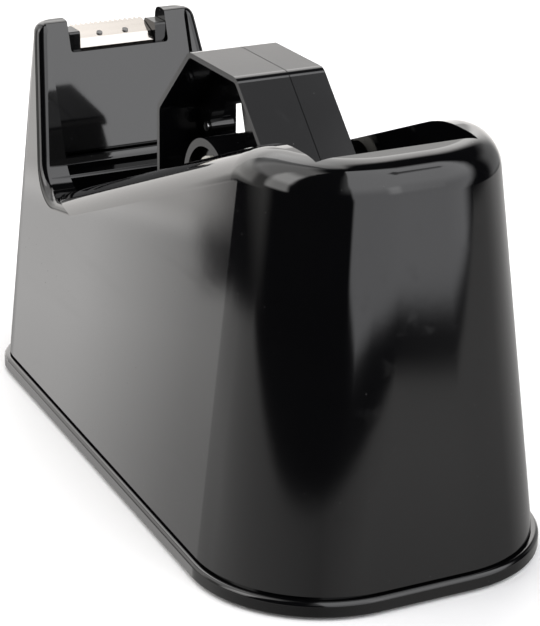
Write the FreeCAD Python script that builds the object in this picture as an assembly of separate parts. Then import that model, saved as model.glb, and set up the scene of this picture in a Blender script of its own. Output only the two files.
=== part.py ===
import FreeCAD, Part
import math
import os

# Desk tape dispenser for rolls on a 76 mm core.
# +X is the dispenser's left-hand side seen from the rear, -Y is the cutter end, +Y is the tall end, +Z is up.
# The origin is at the middle of the footprint, on the surface the dispenser stands on. Millimetres.

# Base
LENGTH = 204.2
FRONT_WIDTH = 75.6
REAR_WIDTH = 101.0
FRONT_CORNER = 19.0
REAR_CORNER = 34.8
SHEET_HEIGHT = 1.2
SHEET_INSET = 5.0
SHEET_PLAY = 0.2
TRAY_BOTTOM = 0.6
TRAY_FLOOR = 4.0
RIM_TOP = 4.8
RIM_ROUND = 1.2
RIM_FOOT_ROUND = 0.5
LEDGE_TOP = 5.5
LEDGE_INSET = 2.6
LIP_INSET = 5.8
LIP_TOP = 9.0
TRAY_POCKET_INSET = 7.2

# Housing
STEP_IN = 0.92
FRONT_SIDE_DRAFT = 0.109
REAR_SIDE_DRAFT = 0.124
FRONT_DRAFT = 0.06
REAR_DRAFT = 0.08
TOP_FRONT_CORNER = 6.0
TOP_REAR_CORNER = 28.8
CORNER_HEIGHT = 110.0
LOFT_TOP = 120.0
WALL = 2.6
DECK_TOP = 113.3
WALL_SLOPE = 0.4
WALL_HEIGHT_AT_DRUM = 89.5
DECK_BLEND = 40.0
WALL_ROUND = 9.0
TOP_EDGE_REACH = 85.0
OUTSIDE = 120.0
PAST = 1.0

# Well
WELL_HALF_WIDTH = 22.7
WELL_FRONT = -71.0
WELL_REAR = 79.7
WELL_FLOOR = 24.0

# Tower at the cutter end
TOWER_TOP = 107.0
TOWER_ROUND = 3.0
TOWER_TOP_REAR_ROUND = 4.0
TOWER_SWEEP = 12.0
TOWER_BLOCK_REAR = -45.0
TOWER_BLOCK_BOTTOM = 20.0
TOWER_BLOCK_SINK = 6.0
TOWER_FOOT_SINK = 0.5
TOWER_EDGE_BOTTOM = 58.0
TOWER_EDGE_REAR = -50.0
TOWER_EDGE_FRONT = -88.5
TOWER_FRONT = -93.0
PANEL_TOP_Y = -87.6
PANEL_TOP_Z = 104.5
PANEL_FOOT_Y = -76.0
PANEL_FOOT_Z = 70.6
PANEL_RECESS = 1.2
STEP_ONE_Y = -73.6
STEP_ONE_Z = 69.2
STEP_TWO_Z = 64.8
GROOVE_DEPTH = 1.0
NOTCH_HALF_WIDTH = 15.8
NOTCH_FLOOR = 97.9
NOTCH_CORNER = 1.0
TOWER_CAVITY_HALF_WIDTH = 21.0
TOWER_CAVITY_TOP = 95.3

# Cutter
CARRIER_PLAY = 0.2
CHEEK_INNER = 12.2
CHEEK_TOP = 103.6
CARRIER_FRONT = -94.9
CARRIER_REAR = -86.8
BLADE_THICKNESS = 0.8
BLADE_PATH = [(-87.2, 98.5), (-89.6, 100.7), (-96.9, 103.5)]
BLADE_HALF_WIDTH = 12.0
TOOTH_PITCH = 1.6
TOOTH_DEPTH = 1.1
RIVET_X = 4.2
RIVET_RADIUS = 0.9
RIVET_HEAD = 0.35
RIVET_SET_BACK = 1.7
RIVET_LENGTH = 2.4
CHEEK_PROUD = 0.2
CHEEK_REAR_ROUND = 0.8
CHEEK_FRONT_ROUND = 1.2
CARRIER_SCREW_Y = -91.2
CARRIER_SCREW_RADIUS = 0.8
CARRIER_SCREW_BITE = 1.8
CARRIER_HEAD_RADIUS = 1.5

# Drum
DRUM_Y = 3.1
DRUM_Z = 81.7
DRUM_RADIUS = 37.5
DRUM_SIDES = 8
DRUM_HALF_WIDTH = 12.9
DRUM_WALL = 1.5
DRUM_RIDGE_ROUND = 4.0
SEAM_X = -2.3
SEAM_HALF_WIDTH = 0.12
SEAM_DEPTH = 0.2
WEB = 1.9
HUB_RADIUS = 14.0
HUB_LEFT_END = 14.5
HUB_RIGHT_END = -12.4
HUB_RECESS_RADIUS = 11.8
HUB_RECESS_DEPTH = 2.5
HUB_BORE = 7.0
WINDOW_OUTER = 29.6
SPOKES = 3
SPOKE_ANGLE = 108.0
SPOKE_WIDTH = 4.6
SCREW_ANGLE = 162.3
SCREW_CIRCLE = 28.4
DRUM_BOSS_RADIUS = 2.2
DRUM_BOSS_END = 0.6
DRUM_BOSS_FOOT = -6.4
DRUM_SCREW_END = -5.8
RIM_NOTCH_DEPTH = 1.8
RIM_NOTCH_LOW = -3.4
RIM_NOTCH_HIGH = 12.0

# Spindle
SPINDLE_RADIUS = 4.0
SPINDLE_PLAY = 0.05
SPINDLE_HALF_LENGTH = 22.4
SPINDLE_CHAMFER = 0.6
SLEEVE_RADIUS = 7.5
SLEEVE_PLAY = 0.3
BUSH_LENGTH = 7.0
BUSH_FLANGE_RADIUS = 9.0
BUSH_FLANGE = 1.0
SADDLE_INNER = 18.0
SADDLE_HALF_WIDTH = 11.0
SADDLE_TOP = 85.2
SADDLE_LEAD_IN = 1.6

# Ballast
BALLAST_HALF_WIDTH = 32.0
BALLAST_FRONT = -52.0
BALLAST_REAR = 60.0
BALLAST_BOTTOM = 6.0
BALLAST_TOP = 20.0
BALLAST_CORNER = 5.0
BALLAST_SCREWS_Y = (-35.0, 45.0)
BALLAST_BOSS_RADIUS = 4.5
BALLAST_SCREW_RADIUS = 1.8
BALLAST_HEAD_RADIUS = 3.5
BALLAST_HEAD = 3.0
BALLAST_SCREW_TOP = 23.0

# Screws
BASE_SCREW_X = 17.0
BASE_SCREWS_Y = (-60.5, 68.5)
BASE_BOSS_RADIUS = 3.6
BASE_SCREW_RADIUS = 1.3
BASE_HEAD_RADIUS = 2.9
BASE_HEAD_BOTTOM = 1.3
BASE_HEAD_TOP = 2.6
BASE_SCREW_TOP = 14.0
SMALL_SCREW_RADIUS = 0.8
SMALL_HEAD_RADIUS = 1.3
SMALL_HEAD = 0.8
HOLE_PLAY = 0.1
SLOT_WIDTH = 0.7
SLOT_DEPTH = 0.5

X_AXIS = FreeCAD.Vector(1, 0, 0)
Z_AXIS = FreeCAD.Vector(0, 0, 1)


def point(x, y, z):
    return FreeCAD.Vector(x, y, z)


def rounded_wire(corners, radii, place):
    """Closed wire through flat corners, each rounded by its radius; place turns (u, v) into a 3-D point."""
    stations = []
    count = len(corners)
    for i, (u, v) in enumerate(corners):
        before = corners[i - 1]
        after = corners[(i + 1) % count]
        back = math.atan2(before[1] - v, before[0] - u)
        ahead = math.atan2(after[1] - v, after[0] - u)
        half = abs((back - ahead + math.pi) % (2 * math.pi) - math.pi) / 2
        radius = radii[i]
        run = radius / math.tan(half)
        middle = math.atan2(math.sin(back) + math.sin(ahead), math.cos(back) + math.cos(ahead))
        reach = radius / math.sin(half) - radius
        start = (u + run * math.cos(back), v + run * math.sin(back))
        crown = (u + reach * math.cos(middle), v + reach * math.sin(middle))
        end = (u + run * math.cos(ahead), v + run * math.sin(ahead))
        stations.append((radius, place(*start), place(*crown), place(*end)))
    edges = []
    for i, (radius, start, crown, end) in enumerate(stations):
        if radius > 0:
            edges.append(Part.Arc(start, crown, end).toShape())
        following = stations[(i + 1) % count][1]
        edges.append(Part.LineSegment(end, following).toShape())
    return Part.Wire(edges)


def plan_prism(corners, radii, bottom, top):
    wire = rounded_wire(corners, radii, lambda x, y: point(x, y, bottom))
    return Part.Face(wire).extrude(Z_AXIS * (top - bottom))


def side_prism(corners, radii, half_width):
    wire = rounded_wire(corners, radii, lambda y, z: point(-half_width, y, z))
    return Part.Face(wire).extrude(X_AXIS * (2 * half_width))


def block(x0, x1, y0, y1, z0, z1):
    return Part.makeBox(x1 - x0, y1 - y0, z1 - z0, point(x0, y0, z0))


def post(x, y, radius, bottom, top):
    return Part.makeCylinder(radius, top - bottom, point(x, y, bottom), Z_AXIS)


def rod(radius, x0, x1, y=DRUM_Y, z=DRUM_Z):
    return Part.makeCylinder(radius, x1 - x0, point(x0, y, z), X_AXIS)


def joined(shapes):
    return shapes[0].multiFuse(shapes[1:])


def save(name, shape):
    if not shape.isValid():
        raise RuntimeError(name + " is not a valid shape")
    shape.exportStep("parts/" + name + ".step")
    print(name, "solids", len(shape.Solids), "volume", round(shape.Volume))


# ---- outlines -------------------------------------------------------------------------------------------


def base_corners(inset):
    front = -LENGTH / 2 + inset
    rear = LENGTH / 2 - inset
    half_front = FRONT_WIDTH / 2 - inset
    half_rear = REAR_WIDTH / 2 - inset
    return [(half_front, front), (half_rear, rear), (-half_rear, rear), (-half_front, front)]


def base_radii(inset):
    front = FRONT_CORNER - inset
    rear = REAR_CORNER - inset
    return [front, rear, rear, front]


def base_prism(inset, bottom, top):
    return plan_prism(base_corners(inset), base_radii(inset), bottom, top)


def housing_section(z, inset):
    share = z / CORNER_HEIGHT
    front = -LENGTH / 2 + STEP_IN + FRONT_DRAFT * z + inset
    rear = LENGTH / 2 - STEP_IN - REAR_DRAFT * z - inset
    half_front = FRONT_WIDTH / 2 - STEP_IN - FRONT_SIDE_DRAFT * z - inset
    half_rear = REAR_WIDTH / 2 - STEP_IN - REAR_SIDE_DRAFT * z - inset
    front_radius = FRONT_CORNER + (TOP_FRONT_CORNER - FRONT_CORNER) * share - inset
    rear_radius = REAR_CORNER + (TOP_REAR_CORNER - REAR_CORNER) * share - inset
    corners = [(half_front, front), (half_rear, rear), (-half_rear, rear), (-half_front, front)]
    radii = [front_radius, rear_radius, rear_radius, front_radius]
    return rounded_wire(corners, radii, lambda x, y: point(x, y, z))


def housing_loft(inset, bottom):
    return Part.makeLoft([housing_section(bottom, inset), housing_section(LOFT_TOP, inset)], True, True)


def wall_height(y):
    return WALL_HEIGHT_AT_DRUM + WALL_SLOPE * (y - DRUM_Y)


def deck_start():
    return DRUM_Y + (DECK_TOP - WALL_HEIGHT_AT_DRUM) / WALL_SLOPE


def panel_y(z):
    """The slanted panel's y at a height."""
    lean = (PANEL_TOP_Y - PANEL_FOOT_Y) / (PANEL_TOP_Z - PANEL_FOOT_Z)
    return PANEL_FOOT_Y + lean * (z - PANEL_FOOT_Z)


def frame_y(z):
    """The panel's frame stands in front of the panel by the recess."""
    lean = math.atan2(PANEL_FOOT_Y - PANEL_TOP_Y, PANEL_TOP_Z - PANEL_FOOT_Z)
    return panel_y(z) + PANEL_RECESS / math.cos(lean)


# ---- housing --------------------------------------------------------------------------------------------


def main_profile(drop):
    """Side view of the walls and the rear deck, dropped below the outer surface by drop."""
    return [
        (-OUTSIDE, 0.0),
        (OUTSIDE, 0.0),
        (OUTSIDE, DECK_TOP - drop),
        (deck_start(), DECK_TOP - drop),
        (-OUTSIDE, wall_height(-OUTSIDE) - drop),
    ]


def outer_top_edges(solid, height_at, tolerance=0.02):
    """The edges along which the top meets the housing's outer faces."""
    chosen = []
    for edge in solid.Edges:
        first, last = edge.ParameterRange
        middle = edge.valueAt((first + last) / 2)
        across = abs(edge.tangentAt((first + last) / 2).x) > 0.999
        on_top_only = across and abs(middle.y) < TOP_EDGE_REACH
        if abs(middle.z - height_at(middle.y)) < tolerance and not on_top_only:
            chosen.append(edge)
    return chosen


def main_height(y):
    straight = min(wall_height(y), DECK_TOP)
    angle = math.atan(WALL_SLOPE)
    run = DECK_BLEND * math.tan(angle / 2)
    start = deck_start() - run * math.cos(angle)
    end = deck_start() + run
    if start < y < end:
        return DECK_TOP - DECK_BLEND + math.sqrt(DECK_BLEND**2 - (end - y) ** 2)
    return straight


def make_main_block():
    profile = side_prism(main_profile(0.0), [0, 0, 0, DECK_BLEND, 0], OUTSIDE)
    solid = housing_loft(0.0, LEDGE_TOP).common(profile)
    return solid.makeFillet(WALL_ROUND, outer_top_edges(solid, main_height))


def tower_corners():
    sweep_z = wall_height(frame_y(wall_height(WELL_FRONT)))
    return [
        (-OUTSIDE, TOWER_BLOCK_BOTTOM),
        (TOWER_BLOCK_REAR, TOWER_BLOCK_BOTTOM),
        (TOWER_BLOCK_REAR, wall_height(TOWER_BLOCK_REAR) - TOWER_BLOCK_SINK),
        (frame_y(sweep_z), sweep_z - TOWER_FOOT_SINK),
        (frame_y(TOWER_TOP), TOWER_TOP),
        (-OUTSIDE, TOWER_TOP),
    ]


def make_tower_block():
    profile = side_prism(tower_corners(), [0, 0, 0, TOWER_SWEEP, TOWER_TOP_REAR_ROUND, 0], OUTSIDE)
    solid = housing_loft(0.0, LEDGE_TOP).common(profile)
    edges = []
    for edge in solid.Edges:
        first, last = edge.ParameterRange
        middle = edge.valueAt((first + last) / 2)
        beside_well = abs(middle.x) > WELL_HALF_WIDTH
        on_frame = TOWER_EDGE_FRONT < middle.y < TOWER_EDGE_REAR and middle.z > TOWER_EDGE_BOTTOM
        on_top = abs(middle.z - TOWER_TOP) < 0.01
        if (beside_well and (on_frame or on_top)) or (on_top and middle.y < TOWER_FRONT):
            edges.append(edge)
    return solid.makeFillet(TOWER_ROUND, edges)


def well_corners(grow):
    """Side view of the well and the panel above its front end, grown outwards by grow."""
    lean = math.atan2(PANEL_FOOT_Y - PANEL_TOP_Y, PANEL_TOP_Z - PANEL_FOOT_Z)
    shift = grow / math.cos(lean)
    return [
        (WELL_FRONT - grow, WELL_FLOOR - grow),
        (WELL_REAR + grow, WELL_FLOOR - grow),
        (WELL_REAR + grow, OUTSIDE),
        (panel_y(OUTSIDE) - shift, OUTSIDE),
        (panel_y(PANEL_FOOT_Z) - shift, PANEL_FOOT_Z),
        (STEP_ONE_Y - grow, STEP_ONE_Z),
        (STEP_ONE_Y - grow, STEP_TWO_Z - grow),
        (WELL_FRONT - grow, STEP_TWO_Z - grow),
    ]


def well_prism(grow):
    corners = well_corners(grow)
    return side_prism(corners, [0] * len(corners), WELL_HALF_WIDTH + grow)


def make_groove():
    """Thin groove under the panel's foot."""
    return block(
        -WELL_HALF_WIDTH, WELL_HALF_WIDTH,
        PANEL_FOOT_Y - GROOVE_DEPTH, STEP_ONE_Y + PAST,
        STEP_ONE_Z, PANEL_FOOT_Z,
    )


def make_cavity():
    """The hollow between the housing's skin and the well, open underneath."""
    low = side_prism(main_profile(WALL_ROUND), [0] * 5, OUTSIDE)
    tower = block(
        -TOWER_CAVITY_HALF_WIDTH, TOWER_CAVITY_HALF_WIDTH, -OUTSIDE, STEP_ONE_Y, 0.0, TOWER_CAVITY_TOP
    )
    inside = housing_loft(WALL, 0.0).common(low.fuse(tower))
    return inside.cut(well_prism(WALL))


def make_notch():
    notch = block(-NOTCH_HALF_WIDTH, NOTCH_HALF_WIDTH, -OUTSIDE, STEP_ONE_Y, NOTCH_FLOOR, OUTSIDE)
    edges = []
    for edge in notch.Edges:
        middle = edge.CenterOfMass
        if abs(middle.z - NOTCH_FLOOR) < 0.01 and abs(abs(middle.x) - NOTCH_HALF_WIDTH) < 0.01:
            edges.append(edge)
    return notch.makeFillet(NOTCH_CORNER, edges)


def base_screw_places():
    return [(side * BASE_SCREW_X, y) for side in (-1, 1) for y in BASE_SCREWS_Y]


def make_bosses():
    bosses = []
    for x, y in base_screw_places():
        boss = post(x, y, BASE_BOSS_RADIUS, TRAY_FLOOR, WELL_FLOOR - WALL)
        bosses.append(boss.cut(post(x, y, BASE_SCREW_RADIUS, TRAY_FLOOR, BASE_SCREW_TOP)))
    for y in BALLAST_SCREWS_Y:
        bosses.append(post(0.0, y, BALLAST_BOSS_RADIUS, BALLAST_TOP, WELL_FLOOR - WALL))
    return bosses


def make_body_shell():
    shell = make_main_block().fuse(make_tower_block())
    shell = shell.cut(well_prism(0.0)).cut(make_groove()).cut(make_notch()).cut(make_cavity())
    shell = joined([shell] + make_bosses())
    for y in BALLAST_SCREWS_Y:
        shell = shell.cut(post(0.0, y, BALLAST_SCREW_RADIUS, BALLAST_TOP, BALLAST_SCREW_TOP))
    screw_hole = post(0.0, CARRIER_SCREW_Y, CARRIER_SCREW_RADIUS + HOLE_PLAY, TOWER_CAVITY_TOP, NOTCH_FLOOR)
    return shell.cut(screw_hole).removeSplitter()


# ---- base -----------------------------------------------------------------------------------------------


def make_base_tray():
    rim = base_prism(0.0, TRAY_BOTTOM, RIM_TOP)
    upper = [edge for edge in rim.Edges if abs(edge.CenterOfMass.z - RIM_TOP) < 0.01]
    rim = rim.makeFillet(RIM_ROUND, upper)
    lower = [edge for edge in rim.Edges if abs(edge.CenterOfMass.z - TRAY_BOTTOM) < 0.01]
    rim = rim.makeFillet(RIM_FOOT_ROUND, lower)
    ledge = base_prism(LEDGE_INSET, TRAY_FLOOR, LEDGE_TOP)
    lip = base_prism(LIP_INSET, TRAY_FLOOR, LIP_TOP)
    tray = joined([rim, ledge, lip])
    tray = tray.cut(base_prism(TRAY_POCKET_INSET, TRAY_FLOOR, LIP_TOP + PAST))
    tray = tray.cut(base_prism(SHEET_INSET - SHEET_PLAY, 0.0, SHEET_HEIGHT))
    for x, y in base_screw_places():
        tray = tray.cut(post(x, y, BASE_SCREW_RADIUS + HOLE_PLAY, 0.0, TRAY_FLOOR))
        tray = tray.cut(post(x, y, BASE_HEAD_RADIUS + HOLE_PLAY, 0.0, BASE_HEAD_TOP))
    return tray.removeSplitter()


def make_base_screws():
    screws = []
    for x, y in base_screw_places():
        head = post(x, y, BASE_HEAD_RADIUS, BASE_HEAD_BOTTOM, BASE_HEAD_TOP)
        shank = post(x, y, BASE_SCREW_RADIUS, BASE_HEAD_TOP, BASE_SCREW_TOP)
        slot = block(
            x - BASE_HEAD_RADIUS, x + BASE_HEAD_RADIUS,
            y - SLOT_WIDTH / 2, y + SLOT_WIDTH / 2,
            BASE_HEAD_BOTTOM, BASE_HEAD_BOTTOM + SLOT_DEPTH,
        )
        screws.append(head.fuse(shank).cut(slot))
    return Part.makeCompound(screws)


def make_ballast_plate():
    corners = [
        (BALLAST_HALF_WIDTH, BALLAST_FRONT),
        (BALLAST_HALF_WIDTH, BALLAST_REAR),
        (-BALLAST_HALF_WIDTH, BALLAST_REAR),
        (-BALLAST_HALF_WIDTH, BALLAST_FRONT),
    ]
    plate = plan_prism(corners, [BALLAST_CORNER] * 4, BALLAST_BOTTOM, BALLAST_TOP)
    for y in BALLAST_SCREWS_Y:
        plate = plate.cut(post(0.0, y, BALLAST_SCREW_RADIUS + HOLE_PLAY, BALLAST_BOTTOM, BALLAST_TOP))
        plate = plate.cut(
            post(0.0, y, BALLAST_HEAD_RADIUS + HOLE_PLAY, BALLAST_BOTTOM, BALLAST_BOTTOM + BALLAST_HEAD)
        )
    return plate


def make_ballast_screws():
    screws = []
    for y in BALLAST_SCREWS_Y:
        head = post(0.0, y, BALLAST_HEAD_RADIUS, BALLAST_BOTTOM, BALLAST_BOTTOM + BALLAST_HEAD)
        shank = post(0.0, y, BALLAST_SCREW_RADIUS, BALLAST_BOTTOM + BALLAST_HEAD, BALLAST_SCREW_TOP)
        screws.append(head.fuse(shank))
    return Part.makeCompound(screws)


# ---- cutter ---------------------------------------------------------------------------------------------


def unit(first, second):
    dy = second[0] - first[0]
    dz = second[1] - first[1]
    size = math.hypot(dy, dz)
    return dy / size, dz / size


def below(path, distance):
    """The blade's path moved to its underside, square to each run."""
    rear_y, rear_z = unit(path[0], path[1])
    front_y, front_z = unit(path[1], path[2])
    bend = 1 + rear_y * front_y + rear_z * front_z
    start = (path[0][0] - distance * rear_z, path[0][1] + distance * rear_y)
    knee = (
        path[1][0] - distance * (rear_z + front_z) / bend,
        path[1][1] + distance * (rear_y + front_y) / bend,
    )
    end = (path[2][0] - distance * front_z, path[2][1] + distance * front_y)
    return [start, knee, end]


def make_cutter_blade():
    under = below(BLADE_PATH, BLADE_THICKNESS)
    corners = BLADE_PATH + under[::-1]
    blade = side_prism(corners, [0] * len(corners), BLADE_HALF_WIDTH)
    dy, dz = unit(BLADE_PATH[1], BLADE_PATH[2])
    tip_y, tip_z = BLADE_PATH[2]
    normal = point(0, dz, -dy)
    lift = normal * (-2 * BLADE_THICKNESS)
    teeth = int(2 * BLADE_HALF_WIDTH / TOOTH_PITCH)
    for i in range(teeth + 1):
        x = -BLADE_HALF_WIDTH + i * TOOTH_PITCH
        root = point(x, tip_y - dy * TOOTH_DEPTH, tip_z - dz * TOOTH_DEPTH)
        ahead = point(0, dy, dz) * (2 * TOOTH_DEPTH)
        half = point(TOOTH_PITCH, 0, 0)
        gap_corners = [root, root + ahead - half, root + ahead + half, root]
        gap = Part.makePolygon([corner + lift for corner in gap_corners])
        blade = blade.cut(Part.Face(gap).extrude(normal * (4 * BLADE_THICKNESS)))
    return without_rivet_holes(blade)


def rivet_seat(x):
    """The middle of a rivet's place on the blade, and the direction away from the blade."""
    dy, dz = unit(BLADE_PATH[1], BLADE_PATH[2])
    knee_y, knee_z = BLADE_PATH[1]
    seat = point(x, knee_y + dy * RIVET_SET_BACK, knee_z + dz * RIVET_SET_BACK)
    return seat, point(0, dz, -dy)


def rivet_shank(x):
    seat, up = rivet_seat(x)
    return Part.makeCylinder(RIVET_RADIUS / 2, RIVET_LENGTH, seat - up * RIVET_LENGTH, up)


def rivet(x):
    seat, up = rivet_seat(x)
    head = Part.makeCylinder(RIVET_RADIUS, RIVET_HEAD, seat, up)
    return head.fuse(rivet_shank(x))


def without_rivet_holes(shape):
    for x in (-RIVET_X, RIVET_X):
        shape = shape.cut(rivet_shank(x))
    return shape


def slope(first, second):
    return (second[1] - first[1]) / (second[0] - first[0])


def make_blade_carrier():
    outer = NOTCH_HALF_WIDTH - CARRIER_PLAY
    under = below(BLADE_PATH, BLADE_THICKNESS)
    seat_front = (CARRIER_FRONT, under[1][1] + (CARRIER_FRONT - under[1][0]) * slope(under[1], under[2]))
    middle = [(CARRIER_FRONT, NOTCH_FLOOR), (CARRIER_REAR, NOTCH_FLOOR), under[0], under[1], seat_front]
    cheek = [
        (CARRIER_FRONT, NOTCH_FLOOR),
        (CARRIER_REAR, NOTCH_FLOOR),
        (panel_y(CHEEK_TOP) + CHEEK_PROUD, CHEEK_TOP),
        (CARRIER_FRONT, CHEEK_TOP),
    ]
    core = side_prism(middle, [0] * len(middle), CHEEK_INNER)
    ears = side_prism(cheek, [0, 0, CHEEK_REAR_ROUND, CHEEK_FRONT_ROUND], outer)
    ears = ears.cut(block(-CHEEK_INNER, CHEEK_INNER, -OUTSIDE, 0.0, 0.0, OUTSIDE))
    carrier = joined([core] + ears.Solids)
    corner = NOTCH_CORNER + CARRIER_PLAY
    lower = []
    for edge in carrier.Edges:
        centre = edge.CenterOfMass
        if abs(centre.z - NOTCH_FLOOR) < 0.01 and abs(abs(centre.x) - outer) < 0.01:
            lower.append(edge)
    carrier = carrier.makeChamfer(corner, lower)
    thread_top = NOTCH_FLOOR + CARRIER_SCREW_BITE
    thread = post(0.0, CARRIER_SCREW_Y, CARRIER_SCREW_RADIUS, NOTCH_FLOOR, thread_top)
    return without_rivet_holes(carrier).cut(thread)


def make_carrier_screw():
    thread_top = NOTCH_FLOOR + CARRIER_SCREW_BITE
    head = post(0.0, CARRIER_SCREW_Y, CARRIER_HEAD_RADIUS, TOWER_CAVITY_TOP - SMALL_HEAD, TOWER_CAVITY_TOP)
    shank = post(0.0, CARRIER_SCREW_Y, CARRIER_SCREW_RADIUS, TOWER_CAVITY_TOP, thread_top)
    return head.fuse(shank)


# ---- drum -----------------------------------------------------------------------------------------------


def octagon(radius, x0, x1, ridge_round=0.0):
    """Prism with a flat on top, centred on the drum's axis; radius is to its corners."""
    step = 2 * math.pi / DRUM_SIDES
    corners = []
    for i in range(DRUM_SIDES):
        angle = step * (i + 0.5)
        corners.append((DRUM_Y + radius * math.sin(angle), DRUM_Z + radius * math.cos(angle)))
    wire = rounded_wire(corners, [ridge_round] * DRUM_SIDES, lambda y, z: point(x0, y, z))
    return Part.Face(wire).extrude(X_AXIS * (x1 - x0))


def screw_place(index):
    angle = math.radians(SCREW_ANGLE + index * 360.0 / SPOKES)
    return DRUM_Y + SCREW_CIRCLE * math.cos(angle), DRUM_Z + SCREW_CIRCLE * math.sin(angle)


def windows(x0, x1):
    """Openings between the spokes of the web."""
    ring = rod(WINDOW_OUTER, x0, x1).cut(rod(HUB_RADIUS, x0, x1))
    for i in range(SPOKES):
        spoke = block(x0, x1, 0.0, WINDOW_OUTER + PAST, -SPOKE_WIDTH / 2, SPOKE_WIDTH / 2)
        spoke.rotate(point(0, 0, 0), X_AXIS, SPOKE_ANGLE + i * 360.0 / SPOKES)
        spoke.translate(point(0, DRUM_Y, DRUM_Z))
        ring = ring.cut(spoke)
    return ring


def drum_ring(x0, x1):
    inner_radius = DRUM_RADIUS - DRUM_WALL / math.cos(math.pi / DRUM_SIDES)
    ring = octagon(DRUM_RADIUS, x0, x1, DRUM_RIDGE_ROUND)
    groove_cut = octagon(DRUM_RADIUS + PAST, SEAM_X - SEAM_HALF_WIDTH, SEAM_X + SEAM_HALF_WIDTH)
    groove_core = octagon(
        DRUM_RADIUS - SEAM_DEPTH, SEAM_X - SEAM_HALF_WIDTH, SEAM_X + SEAM_HALF_WIDTH, DRUM_RIDGE_ROUND
    )
    return ring.cut(groove_cut.cut(groove_core)), inner_radius


def make_drum_left():
    ring, inner_radius = drum_ring(SEAM_X, DRUM_HALF_WIDTH)
    inner_round = DRUM_RIDGE_ROUND - DRUM_WALL
    ring = ring.cut(octagon(inner_radius, SEAM_X + WEB, DRUM_HALF_WIDTH + PAST, inner_round))
    ring = ring.cut(windows(SEAM_X, SEAM_X + WEB))
    pieces = [ring, rod(HUB_RADIUS, SEAM_X, HUB_LEFT_END)]
    for i in range(SPOKES):
        y, z = screw_place(i)
        pieces.append(rod(DRUM_BOSS_RADIUS, SEAM_X, DRUM_BOSS_END, y, z))
    half = joined(pieces)
    half = half.cut(rod(HUB_BORE, SEAM_X, HUB_LEFT_END))
    half = half.cut(rod(HUB_RECESS_RADIUS, HUB_LEFT_END - HUB_RECESS_DEPTH, HUB_LEFT_END))
    for i in range(SPOKES):
        y, z = screw_place(i)
        half = half.cut(rod(SMALL_SCREW_RADIUS + HOLE_PLAY, SEAM_X, DRUM_BOSS_END, y, z))
    return half.removeSplitter()


def make_drum_right():
    ring, inner_radius = drum_ring(-DRUM_HALF_WIDTH, SEAM_X)
    inner_round = DRUM_RIDGE_ROUND - DRUM_WALL
    ring = ring.cut(octagon(inner_radius, -DRUM_HALF_WIDTH - PAST, SEAM_X - WEB, inner_round))
    ring = ring.cut(windows(SEAM_X - WEB, SEAM_X))
    front_flat = DRUM_Y - DRUM_RADIUS
    ring = ring.cut(
        block(
            -DRUM_HALF_WIDTH - PAST, -DRUM_HALF_WIDTH + RIM_NOTCH_DEPTH,
            front_flat, front_flat + 3 * DRUM_WALL,
            DRUM_Z + RIM_NOTCH_LOW, DRUM_Z + RIM_NOTCH_HIGH,
        )
    )
    pieces = [ring, rod(HUB_RADIUS, HUB_RIGHT_END, SEAM_X)]
    for i in range(SPOKES):
        y, z = screw_place(i)
        pieces.append(rod(DRUM_BOSS_RADIUS, DRUM_BOSS_FOOT, SEAM_X, y, z))
    half = joined(pieces)
    half = half.cut(rod(HUB_BORE, HUB_RIGHT_END, SEAM_X))
    half = half.cut(rod(HUB_RECESS_RADIUS, HUB_RIGHT_END, HUB_RIGHT_END + HUB_RECESS_DEPTH))
    for i in range(SPOKES):
        y, z = screw_place(i)
        half = half.cut(rod(SMALL_SCREW_RADIUS, DRUM_SCREW_END, SEAM_X, y, z))
    return half.removeSplitter()


def make_drum_screws():
    screws = []
    for i in range(SPOKES):
        y, z = screw_place(i)
        shank = rod(SMALL_SCREW_RADIUS, DRUM_SCREW_END, DRUM_BOSS_END, y, z)
        head = rod(SMALL_HEAD_RADIUS, DRUM_BOSS_END, DRUM_BOSS_END + SMALL_HEAD, y, z)
        screws.append(shank.fuse(head))
    return Part.makeCompound(screws)


def make_hub_bush(side):
    """Flanged plain bush, pushed in from the hub's recess; side is +1 for the left one, -1 for the right."""
    recess_floor = HUB_LEFT_END - HUB_RECESS_DEPTH if side > 0 else -(HUB_RIGHT_END + HUB_RECESS_DEPTH)
    tube = rod(HUB_BORE, recess_floor - BUSH_LENGTH, recess_floor)
    flange = rod(BUSH_FLANGE_RADIUS, recess_floor, recess_floor + BUSH_FLANGE)
    bore = rod(SPINDLE_RADIUS + SPINDLE_PLAY, recess_floor - BUSH_LENGTH, recess_floor + BUSH_FLANGE)
    bush = tube.fuse(flange).cut(bore).removeSplitter()
    if side < 0:
        bush = bush.mirror(point(0, 0, 0), X_AXIS)
    return bush


# ---- spindle --------------------------------------------------------------------------------------------


def make_spindle():
    spindle = rod(SPINDLE_RADIUS, -SPINDLE_HALF_LENGTH, SPINDLE_HALF_LENGTH)
    ends = [edge for edge in spindle.Edges if edge.Closed]
    return spindle.makeChamfer(SPINDLE_CHAMFER, ends)


def make_sleeve(x0, x1):
    return rod(SLEEVE_RADIUS, x0, x1).cut(rod(SPINDLE_RADIUS, x0, x1))


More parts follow.
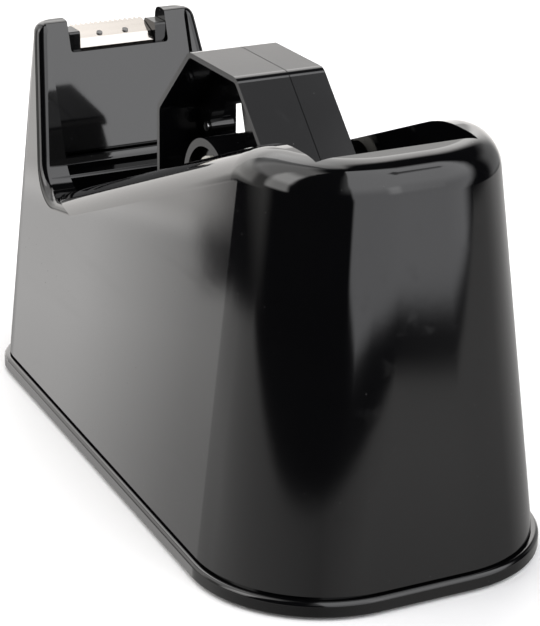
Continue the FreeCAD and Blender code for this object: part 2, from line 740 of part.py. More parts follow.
def make_saddle(side):
    """Slotted block on the well's wall that the spindle's end drops into."""
    reach = SPINDLE_RADIUS + SPINDLE_PLAY
    corners = [
        (DRUM_Y - SADDLE_HALF_WIDTH, WELL_FLOOR),
        (DRUM_Y + SADDLE_HALF_WIDTH, WELL_FLOOR),
        (DRUM_Y + SADDLE_HALF_WIDTH, SADDLE_TOP),
        (DRUM_Y + reach + SADDLE_LEAD_IN, SADDLE_TOP),
        (DRUM_Y + reach, SADDLE_TOP - SADDLE_LEAD_IN),
        (DRUM_Y + reach, DRUM_Z),
        (DRUM_Y - reach, DRUM_Z),
        (DRUM_Y - reach, SADDLE_TOP - SADDLE_LEAD_IN),
        (DRUM_Y - reach - SADDLE_LEAD_IN, SADDLE_TOP),
        (DRUM_Y - SADDLE_HALF_WIDTH, SADDLE_TOP),
    ]
    wire = rounded_wire(corners, [0] * len(corners), lambda y, z: point(SADDLE_INNER, y, z))
    saddle = Part.Face(wire).extrude(X_AXIS * (WELL_HALF_WIDTH - SADDLE_INNER))
    saddle = saddle.cut(rod(reach, SADDLE_INNER, WELL_HALF_WIDTH))
    if side < 0:
        saddle = saddle.mirror(point(0, 0, 0), X_AXIS)
    return saddle


def main():
    os.makedirs("parts", exist_ok=True)
    save("body_shell", make_body_shell())
    save("base_tray", make_base_tray())
    save("base_screws", make_base_screws())
    save("anti_slip_sheet", base_prism(SHEET_INSET, 0.0, SHEET_HEIGHT))
    save("ballast_plate", make_ballast_plate())
    save("ballast_screws", make_ballast_screws())
    save("blade_carrier", make_blade_carrier())
    save("cutter_blade", make_cutter_blade())
    save("blade_rivets", Part.makeCompound([rivet(-RIVET_X), rivet(RIVET_X)]))
    save("carrier_screw", make_carrier_screw())
    save("drum_left", make_drum_left())
    save("drum_right", make_drum_right())
    save("drum_screws", make_drum_screws())
    save("hub_bush_left", make_hub_bush(1))
    save("hub_bush_right", make_hub_bush(-1))
    save("spindle", make_spindle())
    save("sleeve_left", make_sleeve(HUB_LEFT_END + SLEEVE_PLAY, SADDLE_INNER - SLEEVE_PLAY))
    save("sleeve_right", make_sleeve(-SADDLE_INNER + SLEEVE_PLAY, HUB_RIGHT_END - SLEEVE_PLAY))
    save("saddle_left", make_saddle(1))
    save("saddle_right", make_saddle(-1))


main()
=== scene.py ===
import math

import bpy
from mathutils import Matrix, Vector
from mathutils.geometry import intersect_point_line
from mathutils.kdtree import KDTree


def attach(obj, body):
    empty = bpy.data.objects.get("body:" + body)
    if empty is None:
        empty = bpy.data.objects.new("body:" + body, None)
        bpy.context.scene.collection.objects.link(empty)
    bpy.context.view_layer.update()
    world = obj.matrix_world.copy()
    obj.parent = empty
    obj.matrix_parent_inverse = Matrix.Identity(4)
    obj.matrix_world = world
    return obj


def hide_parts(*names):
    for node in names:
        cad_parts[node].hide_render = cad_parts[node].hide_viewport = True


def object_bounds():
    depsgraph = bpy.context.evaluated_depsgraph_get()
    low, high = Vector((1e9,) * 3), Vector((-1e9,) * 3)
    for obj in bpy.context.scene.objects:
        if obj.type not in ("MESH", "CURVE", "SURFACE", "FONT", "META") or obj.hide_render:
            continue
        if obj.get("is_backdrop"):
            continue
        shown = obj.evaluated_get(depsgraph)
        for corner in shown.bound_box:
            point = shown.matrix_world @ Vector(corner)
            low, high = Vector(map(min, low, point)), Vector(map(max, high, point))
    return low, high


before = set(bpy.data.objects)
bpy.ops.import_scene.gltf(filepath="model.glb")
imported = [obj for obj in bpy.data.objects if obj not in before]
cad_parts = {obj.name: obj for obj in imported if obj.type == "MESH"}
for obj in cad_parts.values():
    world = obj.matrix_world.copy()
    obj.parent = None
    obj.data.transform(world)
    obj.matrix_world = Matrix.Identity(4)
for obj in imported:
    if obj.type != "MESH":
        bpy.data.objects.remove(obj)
CAD_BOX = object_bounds()
MM = 0.001

# Camera: where it stands round the object, in degrees and metres, and what it looks at.
CAMERA_AZIMUTH = 152.456
CAMERA_ELEVATION = 21.129
CAMERA_ROLL = 0.773
CAMERA_DISTANCE = 0.5216
CAMERA_AIM = Vector((0.0749, 0.1572, 0.1099))
CAMERA_LENS = 146.2
CAMERA_SENSOR = 36.0
CAMERA_CLIP = (0.01, 20.0)

# Studio: soft lights and dark gaps round the object, by direction. Azimuth 0 is straight ahead of the cutter,
# 90 is the +X side and 180 is behind the tall end.
ROOM = 0.02

# Edges that aren't straight, in steps: TABLE_EDGE and REAR_LIGHT_FOOT give an elevation for an azimuth,
# TABLE_LEVEL gives a brightness for an azimuth, TABLE_FADE gives one for an elevation, and the SIDE lists
# give an azimuth for an elevation.
TABLE_EDGE = [
    (22.5, -13.5), (23.0, -15.0), (36.0, -13.5), (58.0, -11.5), (70.0, -10.5), (110.0, -12.0),
    (210.0, -14.5), (225.0, -13.0), (245.0, -11.0), (300.0, -12.5),
]
TABLE_LEVEL = [
    (0.0, 0.8), (13.0, 1.4), (20.0, 2.1), (23.0, 1.1), (26.0, 0.8), (50.0, 1.05),
    (90.0, 0.75), (150.0, 0.45), (190.0, 0.75), (210.0, 0.8), (260.0, 0.45), (300.0, 0.7),
]
REAR_LIGHT_FOOT = [(160.0, -8.5), (170.0, -10.8), (185.0, -11.3), (210.0, -13.0), (240.0, -11.3)]
REAR_LEFT_SIDE = [(-9.0, 160.5), (45.0, 155.5)]
REAR_RIGHT_SIDE = [(-12.0, 236.0), (60.0, 270.0)]
FRONT_LEFT_SIDE = [(15.0, -50.0), (45.0, -46.0), (65.0, -31.0)]
FRONT_RIGHT_SIDE = [(-12.0, 23.0), (-3.0, 16.0), (3.0, 11.0)]
TABLE_FADE = [(-25.0, 0.62), (-19.0, 0.8), (-16.2, 1.0)]
TABLE_SOFT = 0.35

# How much light is held back where the drum's rear and top flats reflect it. The housing's round shoulders
# reflect the rear flag too, as a small dark mark.
REAR_FLAG = 0.8
FRONT_GAP = 0.5

# The housing's outer shape in millimetres and slopes, as in the CAD part.
LENGTH = 204.2
FRONT_WIDTH = 75.6
REAR_WIDTH = 101.0
STEP_IN = 0.92
FRONT_DRAFT = 0.06
REAR_DRAFT = 0.08
FRONT_SIDE_DRAFT = 0.109
REAR_SIDE_DRAFT = 0.124
FRONT_CORNERS = (19.0, 6.0)
REAR_CORNERS = (34.8, 28.8)
CORNER_HEIGHT = 110.0
DRUM_Y = 3.1
WALL_AT_DRUM = 89.5
WALL_SLOPE = 0.4
DECK_TOP = 113.3
DECK_BLEND = 40.0
WALL_ROUND = 9.0
TOWER_TOP = 107.0
TOWER_ROUND = 3.0
POST_ROUND = 4.0
TOWER_SWEEP = 12.0
FOOT_SINK = 0.5
BLOCK_REAR = -45.0
BLOCK_SINK = 6.0
WELL_FRONT = -71.0
PANEL_TOP = (-87.6, 104.5)
PANEL_FOOT = (-76.0, 70.6)
PANEL_RECESS = 1.2

# How the housing's faces are matched to those surfaces.
WALL_FRONT_Y = -90.0
DECK_CORNER_Y = 60.0
TOWER_CORNER_Y = -90.0
SHEET_DEPTH = 2.0
ARC_STEPS = 24
END_STEPS = 120
PAST_ENDS = 120.0
BALL_START = 20.0
BALL_TRIES = 8
BALL_END_TRIES = 16
LEAST_SLOPE = 0.3
FIT = 0.09
FACING = 0.93

FLOOR_HALF_SIZE = 3.0
FLOOR_DROP = 0.0002


# ---- node helpers ---------------------------------------------------------------------------------------


class Graph:
    """Short calls for building a node tree."""

    def __init__(self, tree):
        self.tree = tree
        self.tree.nodes.clear()

    def node(self, kind, **settings):
        made = self.tree.nodes.new(kind)
        for name, value in settings.items():
            setattr(made, name, value)
        return made

    def put(self, value, socket):
        if isinstance(value, bpy.types.NodeSocket):
            self.tree.links.new(value, socket)
        else:
            socket.default_value = value

    def math(self, operation, first, second=0.0, clamp=False):
        made = self.node("ShaderNodeMath", operation=operation, use_clamp=clamp)
        self.put(first, made.inputs[0])
        self.put(second, made.inputs[1])
        return made.outputs[0]

    def ramp(self, value, low, high, to_low=0.0, to_high=1.0, smooth=True):
        """value from low to high becomes to_low to to_high, held level outside."""
        kind = "SMOOTHSTEP" if smooth else "LINEAR"
        made = self.node("ShaderNodeMapRange", interpolation_type=kind, clamp=True)
        self.put(value, made.inputs["Value"])
        made.inputs["From Min"].default_value = low
        made.inputs["From Max"].default_value = high
        made.inputs["To Min"].default_value = to_low
        made.inputs["To Max"].default_value = to_high
        return made.outputs["Result"]

    def follow(self, value, steps):
        """Straight lines through the steps (value, result), level before the first and after the last."""
        total = steps[0][1]
        for (start, first), (end, last) in zip(steps, steps[1:]):
            total = self.math("ADD", total, self.ramp(value, start, end, 0.0, last - first, smooth=False))
        return total

    def mix(self, share, first, second):
        made = self.node("ShaderNodeMix", data_type="RGBA")
        self.put(share, made.inputs["Factor"])
        self.put(first, made.inputs["A"])
        self.put(second, made.inputs["B"])
        return made.outputs["Result"]

    def place(self, stretch=(1.0, 1.0, 1.0)):
        """Object coordinates, stretched."""
        coordinates = self.node("ShaderNodeTexCoord").outputs["Object"]
        mapping = self.node("ShaderNodeMapping")
        self.put(coordinates, mapping.inputs["Vector"])
        mapping.inputs["Scale"].default_value = stretch
        return mapping.outputs["Vector"]

    def noise(self, scale, detail=3.0, stretch=(1.0, 1.0, 1.0), roughness=0.5):
        made = self.node("ShaderNodeTexNoise")
        self.put(self.place(stretch), made.inputs["Vector"])
        made.inputs["Scale"].default_value = scale
        made.inputs["Detail"].default_value = detail
        made.inputs["Roughness"].default_value = roughness
        return made.outputs["Fac"]

    def specks(self, scale, size):
        """1 inside small round specks, 0 elsewhere."""
        made = self.node("ShaderNodeTexVoronoi", feature="F1")
        self.put(self.place(), made.inputs["Vector"])
        made.inputs["Scale"].default_value = scale
        return self.ramp(made.outputs["Distance"], size, size * 0.5)

    def bump(self, height, distance, strength=1.0, normal=None):
        made = self.node("ShaderNodeBump")
        self.put(height, made.inputs["Height"])
        made.inputs["Distance"].default_value = distance
        made.inputs["Strength"].default_value = strength
        if normal is not None:
            self.put(normal, made.inputs["Normal"])
        return made.outputs["Normal"]


def grey(level, alpha=1.0):
    return (level, level, level, alpha)


def surface(name, colour, roughness, normal=None, **settings):
    """A Principled material. Colour, roughness and normal are functions of the graph."""
    material = bpy.data.materials.new(name)
    material.use_nodes = True
    graph = Graph(material.node_tree)
    shader = graph.node("ShaderNodeBsdfPrincipled")
    output = graph.node("ShaderNodeOutputMaterial")
    graph.put(shader.outputs["BSDF"], output.inputs["Surface"])
    graph.put(colour(graph), shader.inputs["Base Color"])
    graph.put(roughness(graph), shader.inputs["Roughness"])
    if normal is not None:
        graph.put(normal(graph), shader.inputs["Normal"])
    for socket, value in settings.items():
        shader.inputs[socket.replace("_", " ")].default_value = value
    return material


# ---- housing --------------------------------------------------------------------------------------------


def mixed(ends, share):
    return ends[0] + (ends[1] - ends[0]) * share


def outline(z):
    """Plan outline at height z: the ends' y, the side's angle, and the corner arcs' centres and radii."""
    front = -LENGTH / 2 + STEP_IN + FRONT_DRAFT * z
    rear = LENGTH / 2 - STEP_IN - REAR_DRAFT * z
    half_front = FRONT_WIDTH / 2 - STEP_IN - FRONT_SIDE_DRAFT * z
    half_rear = REAR_WIDTH / 2 - STEP_IN - REAR_SIDE_DRAFT * z
    radii = (mixed(FRONT_CORNERS, z / CORNER_HEIGHT), mixed(REAR_CORNERS, z / CORNER_HEIGHT))
    side = -math.atan2(half_rear - half_front, rear - front)
    out = Vector((math.cos(side), math.sin(side)))
    reach = out.x * half_front + out.y * front
    ends = (front + radii[0], rear - radii[1])
    centres = [Vector(((reach - radius - out.y * y) / out.x, y)) for radius, y in zip(radii, ends)]
    return out, centres, radii


def wall_gap(place):
    """How far a place is outside the drafted wall in plan, and in which direction. x counts as positive."""
    out, centres, radii = outline(place.z)
    flat = Vector((abs(place.x), place.y))
    along = Vector((-out.y, out.x))
    if (flat - centres[0]).dot(along) < 0:
        centre, radius, level = centres[0], radii[0], Vector((0.0, -1.0))
    elif (flat - centres[1]).dot(along) > 0:
        centre, radius, level = centres[1], radii[1], Vector((0.0, 1.0))
    else:
        return (flat - centres[0]).dot(out) - radii[0], out
    if flat.x < centre.x:
        return (flat - centre).dot(level) - radius, level
    away = flat - centre
    return away.length - radius, away.normalized()


def wall_fit(place):
    """Signed distance to the drafted wall and the wall's outward normal there."""
    gap, out = wall_gap(place)
    higher, _ = wall_gap(place + Vector((0.0, 0.0, 1.0)))
    normal = Vector((math.copysign(out.x, place.x), out.y, higher - gap)).normalized()
    return gap * normal.xy.length, normal


def rounded_path(corners, radii):
    """Points and upward normals, in side view, along straight runs joined by arcs."""
    path = []
    for i, (corner, radius) in enumerate(zip(corners, radii)):
        here = Vector(corner)
        before = (here - Vector(corners[i - 1])).normalized() if i > 0 else None
        after = (Vector(corners[i + 1]) - here).normalized() if i + 1 < len(corners) else None
        if before is None or after is None:
            way = after or before
            path.append((here, Vector((-way.y, way.x))))
            continue
        first, last = Vector((-before.y, before.x)), Vector((-after.y, after.x))
        bend = before.angle(after)
        bulge = radius if before.cross(after) < 0 else -radius
        centre = here - before * radius * math.tan(bend / 2) - first * bulge
        for step in range(ARC_STEPS + 1):
            share = step / ARC_STEPS
            normal = (first * math.sin((1 - share) * bend) + last * math.sin(share * bend)).normalized()
            path.append((centre + normal * bulge, normal))
    return path


def inside(path, depth):
    """Points that lie the depth below a path, no further apart than a millimetre."""
    points = [point - normal * depth for point, normal in path]
    for first, second in zip(points, points[1:]):
        count = max(1, math.ceil((second - first).length))
        for step in range(count):
            yield first.lerp(second, step / count)


def ball_beside(y, z, radius):
    """Centre of a ball at y and z that touches the side wall from inside."""
    centre = Vector((REAR_WIDTH / 2, y, z))
    for _ in range(BALL_TRIES):
        distance, normal = wall_fit(centre)
        centre.x -= (distance + radius) / max(normal.x, LEAST_SLOPE)
    return centre


def height_on(path, y):
    """Height of a side view's points at y."""
    for first, second in zip(path, path[1:]):
        if first.x <= y <= second.x:
            return mixed((first.y, second.y), (y - first.x) / max(second.x - first.x, MM))
    return path[0].y if y < path[0].x else path[-1].y


def ball_round_end(start_y, path, direction, radius):
    """Centres of a ball that rolls round the corner and across the end wall, at the path's height."""
    for step in range(END_STEPS + 1):
        turn = math.pi / 2 * step / END_STEPS
        way = Vector((math.cos(turn), direction * math.sin(turn), 0.0))
        reach = BALL_START
        for _ in range(BALL_END_TRIES):
            centre = Vector((0.0, start_y, 0.0)) + way * reach
            centre.z = height_on(path, centre.y)
            distance, normal = wall_fit(centre)
            reach -= (distance + radius) / max(normal.dot(way), LEAST_SLOPE)
        yield centre


def top_paths():
    """Side views of the walls with the rear deck, and of the tower."""
    lean = math.atan2(PANEL_FOOT[0] - PANEL_TOP[0], PANEL_TOP[1] - PANEL_FOOT[1])

    def wall(y):
        return WALL_AT_DRUM + WALL_SLOPE * (y - DRUM_Y)

    def panel_edge(z):
        share = (z - PANEL_FOOT[1]) / (PANEL_TOP[1] - PANEL_FOOT[1])
        return mixed((PANEL_FOOT[0], PANEL_TOP[0]), share) + PANEL_RECESS / math.cos(lean)
    deck_start = DRUM_Y + (DECK_TOP - WALL_AT_DRUM) / WALL_SLOPE
    foot = wall(panel_edge(wall(WELL_FRONT)))
    walls = rounded_path(
        [(-PAST_ENDS, wall(-PAST_ENDS)), (deck_start, DECK_TOP), (PAST_ENDS, DECK_TOP)],
        [0.0, DECK_BLEND, 0.0],
    )
    tower = rounded_path(
        [(-PAST_ENDS, TOWER_TOP), (panel_edge(TOWER_TOP), TOWER_TOP), (panel_edge(foot), foot - FOOT_SINK),
         (BLOCK_REAR, wall(BLOCK_REAR) - BLOCK_SINK)],
        [0.0, POST_ROUND, TOWER_SWEEP, 0.0],
    )
    return walls, tower


def nearest_on(points, tree, place):
    """Closest point to place on a run of points."""
    _, index, _ = tree.find(place)
    best = points[index]
    for first, second in ((index - 1, index), (index, index + 1)):
        if first < 0 or second >= len(points):
            continue
        close, share = intersect_point_line(place, points[first], points[second])
        if 0.0 < share < 1.0 and (close - place).length < (best - place).length:
            best = close
    return best


def surface_runs():
    """Runs of points under the top surfaces: the points, a search tree, their depth, and if x counts."""
    walls, tower = top_paths()
    under_walls = list(inside(walls, WALL_ROUND))
    under_tower = list(inside(tower, TOWER_ROUND))
    ball_walls = [ball_beside(y, z, WALL_ROUND) for y, z in under_walls if WALL_FRONT_Y < y < DECK_CORNER_Y]
    ball_walls += ball_round_end(DECK_CORNER_Y, under_walls, 1, WALL_ROUND)
    ball_tower = list(ball_round_end(TOWER_CORNER_Y, under_tower, -1, TOWER_ROUND))[::-1]
    ball_tower += [ball_beside(y, z, TOWER_ROUND) for y, z in under_tower if y > TOWER_CORNER_Y]
    sheets = [[Vector((0.0, y, z)) for y, z in inside(path, SHEET_DEPTH)] for path in (walls, tower)]
    runs = [(ball_walls, WALL_ROUND, True), (ball_tower, TOWER_ROUND, True)]
    runs += [(sheet, SHEET_DEPTH, False) for sheet in sheets]
    made = []
    for points, depth, sideways in runs:
        tree = KDTree(len(points))
        for index, point in enumerate(points):
            tree.insert(point, index)
        tree.balance()
        made.append((points, tree, depth, sideways))
    return made


def fits_at(place, runs):
    """Signed distance and outward normal of each of the housing's outer surfaces next to a place."""
    fits = [wall_fit(place)]
    for points, tree, depth, sideways in runs:
        seen = Vector((abs(place.x) if sideways else 0.0, place.y, place.z))
        away = seen - nearest_on(points, tree, seen)
        normal = away.normalized()
        normal.x = math.copysign(normal.x, place.x)
        fits.append((away.length - depth, normal))
    return fits


def make_housing():
    """The housing with the true normals of its drafted walls and rounded top, for clean reflections."""
    runs = surface_runs()
    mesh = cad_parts["body_shell"].data.copy()
    mesh.name = "housing"
    fits = [fits_at(vertex.co / MM, runs) for vertex in mesh.vertices]
    normals = [corner.vector.copy() for corner in mesh.corner_normals]
    for polygon in mesh.polygons:
        best = FIT
        chosen = None
        for kind in range(len(runs) + 1):
            here = [fits[vertex][kind] for vertex in polygon.vertices]
            worst = max(abs(distance) for distance, _ in here)
            facing = min(normal.dot(polygon.normal) for _, normal in here)
            if worst < best and facing > FACING:
                best = worst
                chosen = here
        if chosen:
            for loop, (_, normal) in zip(polygon.loop_indices, chosen):
                normals[loop] = normal
    mesh.polygons.foreach_set("use_smooth", [True] * len(mesh.polygons))
    mesh.normals_split_custom_set(normals)
    housing = bpy.data.objects.new("housing", mesh)
    bpy.context.scene.collection.objects.link(housing)
    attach(housing, "root")
    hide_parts("body_shell")
    return housing


# ---- materials ------------------------------------------------------------------------------------------


def moulded_colour(dark, light, dust):
    def build(graph):
        body = graph.mix(graph.noise(35.0, 4.0), dark, light)
        return graph.mix(graph.math("MULTIPLY", graph.specks(260.0, 0.05), 0.5), body, dust)
    return build


def worn_roughness(base, spread, scuff):
    """Even gloss with soft patches, fine lengthwise wiping marks and a few dust specks."""
    def build(graph):
        patches = graph.ramp(graph.noise(18.0, 3.0), 0.35, 0.7, base, base + spread)
        wiped = graph.ramp(graph.noise(160.0, 5.0, (1.0, 0.08, 1.0)), 0.58, 0.75, 0.0, scuff)
        specks = graph.math("MULTIPLY", graph.specks(260.0, 0.05), 0.3)
        return graph.math("ADD", graph.math("ADD", patches, wiped), specks, clamp=True)
    return build


def moulded_skin(scale, depth):
    def build(graph):
        return graph.bump(graph.noise(scale, 2.0), depth)
    return build


def gloss_black(name, base=0.04, spread=0.02, scuff=0.03, depth=0.000001):
    return surface(
        name,
        moulded_colour((0.0009, 0.0009, 0.0011, 1), (0.0016, 0.0016, 0.0018, 1), grey(0.03)),
        worn_roughness(base, spread, scuff),
        moulded_skin(220.0, depth),
        IOR=1.5,
    )


def satin_black(name):
    def skin(graph):
        grain = graph.bump(graph.noise(2600.0, 2.0), 0.000004, 0.5)
        return graph.bump(graph.noise(90.0, 2.0), 0.000006, 0.5, grain)
    return surface(
        name,
        moulded_colour((0.002, 0.0021, 0.0024, 1), (0.0035, 0.0035, 0.004, 1), grey(0.04)),
        worn_roughness(0.09, 0.04, 0.04),
        skin,
        IOR=1.5,
    )


def rolled_steel(name, level, roughness, stretch, warmth=0.0):
    def tinted(value):
        return (value, value * (1.0 - warmth / 2), value * (1.0 - warmth), 1.0)

    def colour(graph):
        streaks = graph.noise(300.0, 5.0, stretch)
        return graph.mix(streaks, tinted(level * 0.82), tinted(level))

    def rough(graph):
        return graph.ramp(graph.noise(500.0, 4.0, stretch), 0.3, 0.7, roughness * 0.7, roughness * 1.4)

    def skin(graph):
        return graph.bump(graph.noise(900.0, 4.0, stretch), 0.000004, 0.7)
    return surface(name, colour, rough, skin, Metallic=1.0)


def rough_rubber(name):
    def skin(graph):
        return graph.bump(graph.noise(1400.0, 4.0), 0.00008, 0.8)
    return surface(
        name,
        moulded_colour(grey(0.012), grey(0.024), grey(0.08)),
        lambda graph: graph.ramp(graph.noise(60.0), 0.3, 0.7, 0.75, 0.9),
        skin,
    )


def cast_iron(name):
    def skin(graph):
        return graph.bump(graph.noise(500.0, 6.0, roughness=0.65), 0.0003, 0.8)
    return surface(
        name,
        lambda graph: graph.mix(graph.noise(120.0, 6.0), grey(0.03), (0.09, 0.08, 0.075, 1)),
        lambda graph: graph.ramp(graph.noise(200.0, 4.0), 0.3, 0.7, 0.55, 0.8),
        skin,
        Metallic=0.6,
    )


def natural_nylon(name):
    def skin(graph):
        return graph.bump(graph.noise(700.0, 3.0), 0.00001, 0.6)
    return surface(
        name,
        lambda graph: graph.mix(graph.noise(80.0), (0.66, 0.64, 0.58, 1), (0.74, 0.72, 0.66, 1)),
        lambda graph: graph.ramp(graph.noise(120.0), 0.3, 0.7, 0.35, 0.5),
        skin,
    )


def dress_nodes(housing):
    looks = {
        gloss_black("housing_black"): ["body_shell"],
        gloss_black("base_black", 0.09, 0.05, 0.05): ["base_tray"],
        gloss_black("carrier_black", 0.1, 0.05, 0.04): ["blade_carrier", "saddle_left", "saddle_right"],
        satin_black("drum_black"): ["drum_left", "drum_right", "sleeve_left", "sleeve_right"],
        rolled_steel("cutter_steel", 0.5, 0.12, (0.06, 1.0, 1.0), 0.12): ["cutter_blade"],
        rolled_steel("rivet_steel", 0.16, 0.35, (1.0, 1.0, 1.0)): ["blade_rivets"],
        rolled_steel("screw_steel", 0.45, 0.3, (1.0, 1.0, 1.0)): [
            "base_screws", "ballast_screws", "carrier_screw", "drum_screws",
        ],
        rolled_steel("spindle_steel", 0.62, 0.22, (0.05, 1.0, 1.0)): ["spindle"],
        rough_rubber("sheet_rubber"): ["anti_slip_sheet"],
        cast_iron("ballast_iron"): ["ballast_plate"],
        natural_nylon("bush_plastic"): ["hub_bush_left", "hub_bush_right"],
    }
    for material, names in looks.items():
        meshes = [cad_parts[name].data for name in names]
        if "body_shell" in names:
            meshes.append(housing.data)
        for mesh in meshes:
            mesh.materials.clear()
            mesh.materials.append(material)


# ---- studio ---------------------------------------------------------------------------------------------


class Sky:
    """The studio by direction: azimuth from ahead, azimuth from behind and elevation, in degrees."""

    def __init__(self, graph):
        self.graph = graph
        split = graph.node("ShaderNodeSeparateXYZ")
        graph.put(graph.node("ShaderNodeTexCoord").outputs["Generated"], split.inputs["Vector"])
        x, y, z = split.outputs
        turn = math.degrees(1)
        forward = graph.math("MULTIPLY", y, -1.0)
        self.elevation = graph.math("MULTIPLY", graph.math("ARCSINE", z), turn)
        self.ahead = graph.math("MULTIPLY", graph.math("ARCTAN2", x, forward), turn)
        behind = graph.math("MULTIPLY", graph.math("ARCTAN2", x, y), -turn)
        self.behind = graph.math("ADD", behind, 180.0)

    def past(self, value, edge, soft):
        """0 well below the edge, 1 well above it; the edge may itself be a socket."""
        return self.graph.ramp(self.graph.math("SUBTRACT", value, edge), -soft, soft)

    def between(self, value, low, high):
        short_of_high = self.graph.math("SUBTRACT", 1.0, self.past(value, *high))
        return self.graph.math("MULTIPLY", self.past(value, *low), short_of_high)

    def area(self, azimuth, left, right, low, high):
        """1 between two azimuths and two elevations, each given as a place and how soft it is."""
        across = self.between(azimuth, left, right)
        return self.graph.math("MULTIPLY", across, self.between(self.elevation, low, high))

    def held_back(self, light, patch, share):
        """The light, with a share of it taken away inside the patch."""
        left = self.graph.math("SUBTRACT", 1.0, self.graph.math("MULTIPLY", patch, share))
        return self.graph.math("MULTIPLY", light, left)

    def total(self, lights):
        """The room's own light and all the lights added up."""
        total = (ROOM, ROOM, ROOM * 1.1)
        for share, colour in lights:
            scaled = self.graph.node("ShaderNodeVectorMath", operation="SCALE")
            scaled.inputs[0].default_value = colour
            self.graph.put(share, scaled.inputs["Scale"])
            added = self.graph.node("ShaderNodeVectorMath", operation="ADD")
            self.graph.put(total, added.inputs[0])
            self.graph.put(scaled.outputs["Vector"], added.inputs[1])
            total = added.outputs["Vector"]
        return total


def table_light(sky):
    """The pale table below the horizon, brighter and darker round the object."""
    edge = sky.graph.follow(sky.behind, TABLE_EDGE)
    level = sky.graph.math(
        "MULTIPLY",
        sky.graph.follow(sky.behind, TABLE_LEVEL),
        sky.graph.follow(sky.elevation, TABLE_FADE),
    )
    table = sky.graph.math("SUBTRACT", 1.0, sky.past(sky.elevation, edge, TABLE_SOFT))
    return [(sky.graph.math("MULTIPLY", table, level), (1.0, 0.985, 0.97))]


def rear_lights(sky):
    """The big box behind the tall end, and a second one over its upper part."""
    left = sky.graph.follow(sky.elevation, REAR_LEFT_SIDE)
    right = sky.graph.follow(sky.elevation, REAR_RIGHT_SIDE)
    foot = sky.graph.follow(sky.behind, REAR_LIGHT_FOOT)
    flag = sky.area(sky.behind, (230.0, 3.0), (245.0, 3.0), (54.5, 2.0), (62.5, 2.0))
    box = sky.area(sky.behind, (left, 1.8), (right, 8.0), (foot, 0.4), (100.0, 1.0))
    upper = sky.area(sky.behind, (150.0, 8.0), (right, 8.0), (22.0, 14.0), (100.0, 1.0))
    return [
        (sky.held_back(box, flag, REAR_FLAG), (1.95, 1.95, 2.0)),
        (sky.held_back(upper, flag, REAR_FLAG), (0.9, 0.9, 0.9)),
    ]


def front_lights(sky):
    """The box beyond the cutter, brighter in its upper part."""
    left = sky.graph.follow(sky.elevation, FRONT_LEFT_SIDE)
    right = sky.graph.follow(sky.elevation, FRONT_RIGHT_SIDE)
    gap = sky.area(sky.ahead, (-35.0, 4.0), (-19.0, 4.0), (12.0, 2.0), (19.5, 2.0))
    box = sky.area(sky.ahead, (left, 9.0), (right, 1.0), (-13.6, 0.6), (78.0, 5.0))
    upper = sky.area(sky.ahead, (left, 9.0), (30.0, 14.0), (14.0, 8.0), (78.0, 5.0))
    return [
        (sky.held_back(box, gap, FRONT_GAP), (1.98, 1.93, 1.88)),
        (sky.held_back(upper, gap, FRONT_GAP), (0.8, 0.8, 0.8)),
        (sky.area(sky.ahead, (-22.0, 12.0), (16.0, 10.0), (36.0, 8.0), (66.0, 8.0)), (1.5, 1.5, 1.5)),
    ]


def side_lights(sky):
    """Smaller lights on the +X side, one low on the -X side and one behind."""
    right = sky.graph.follow(sky.elevation, FRONT_RIGHT_SIDE)
    return [
        (sky.area(sky.ahead, (right, 1.0), (74.0, 8.0), (-9.0, 2.0), (24.0, 6.0)), (0.55, 0.54, 0.52)),
        (sky.area(sky.ahead, (right, 1.0), (50.0, 6.0), (-3.0, 4.0), (24.0, 6.0)), (1.1, 1.08, 1.05)),
        (sky.area(sky.ahead, (26.0, 9.0), (95.0, 4.0), (25.0, 6.0), (75.0, 6.0)), (2.1, 2.07, 2.05)),
        (sky.area(sky.ahead, (68.0, 4.0), (94.0, 3.0), (3.0, 4.0), (52.0, 8.0)), (3.1, 3.06, 3.02)),
        (sky.area(sky.ahead, (-84.0, 8.0), (-50.0, 8.0), (-11.0, 4.0), (24.0, 8.0)), (0.55, 0.55, 0.55)),
        (sky.area(sky.behind, (196.0, 4.0), (209.0, 4.0), (8.0, 5.0), (27.0, 5.0)), (1.3, 1.3, 1.3)),
    ]


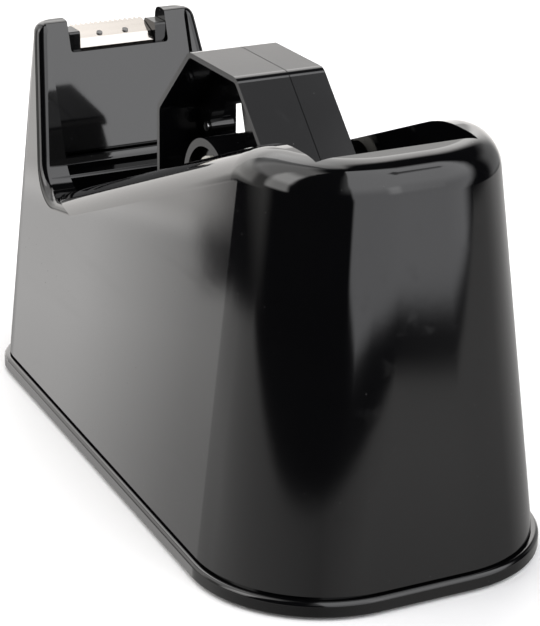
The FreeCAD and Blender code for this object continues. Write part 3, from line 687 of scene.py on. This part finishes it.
def make_world():
    world = bpy.data.worlds.new("studio")
    bpy.context.scene.world = world
    world.use_nodes = True
    graph = Graph(world.node_tree)
    sky = Sky(graph)
    lights = table_light(sky) + rear_lights(sky) + front_lights(sky) + side_lights(sky)
    background = graph.node("ShaderNodeBackground")
    output = graph.node("ShaderNodeOutputWorld")
    graph.put(sky.total(lights), background.inputs["Color"])
    graph.put(background.outputs["Background"], output.inputs["Surface"])


def make_floor():
    mesh = bpy.data.meshes.new("floor")
    half = FLOOR_HALF_SIZE
    corners = [(-half, -half, 0), (half, -half, 0), (half, half, 0), (-half, half, 0)]
    mesh.from_pydata(corners, [], [(0, 1, 2, 3)])
    floor = bpy.data.objects.new("floor", mesh)
    floor.location.z = -FLOOR_DROP
    bpy.context.scene.collection.objects.link(floor)
    material = surface(
        "floor_white",
        lambda graph: graph.mix(graph.noise(3.0), grey(0.80), grey(0.82)),
        lambda graph: graph.ramp(graph.noise(8.0), 0.3, 0.7, 0.8, 0.9),
        Specular_IOR_Level=0.1,
    )
    mesh.materials.append(material)
    floor.visible_glossy = False
    floor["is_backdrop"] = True


def make_camera():
    azimuth, elevation, roll = (math.radians(v) for v in (CAMERA_AZIMUTH, CAMERA_ELEVATION, CAMERA_ROLL))
    level = math.cos(elevation)
    back = Vector((math.sin(azimuth) * level, -math.cos(azimuth) * level, math.sin(elevation)))
    right = Vector((math.cos(azimuth), math.sin(azimuth), 0.0))
    up = back.cross(right)
    across = right * math.cos(roll) + up * math.sin(roll)
    upright = up * math.cos(roll) - right * math.sin(roll)
    turn = Matrix((across, upright, back)).transposed()
    data = bpy.data.cameras.new("camera")
    data.lens = CAMERA_LENS
    data.sensor_width = CAMERA_SENSOR
    data.clip_start, data.clip_end = CAMERA_CLIP
    camera = bpy.data.objects.new("camera", data)
    camera.matrix_world = Matrix.Translation(CAMERA_AIM + back * CAMERA_DISTANCE) @ turn.to_4x4()
    bpy.context.scene.collection.objects.link(camera)
    bpy.context.scene.camera = camera


def write_sizes():
    boxes = [[list(corner) for corner in box] for box in (CAD_BOX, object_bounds())]


bpy.context.scene.view_settings.view_transform = "Standard"
dress_nodes(make_housing())
make_world()
make_floor()
make_camera()
write_sizes()
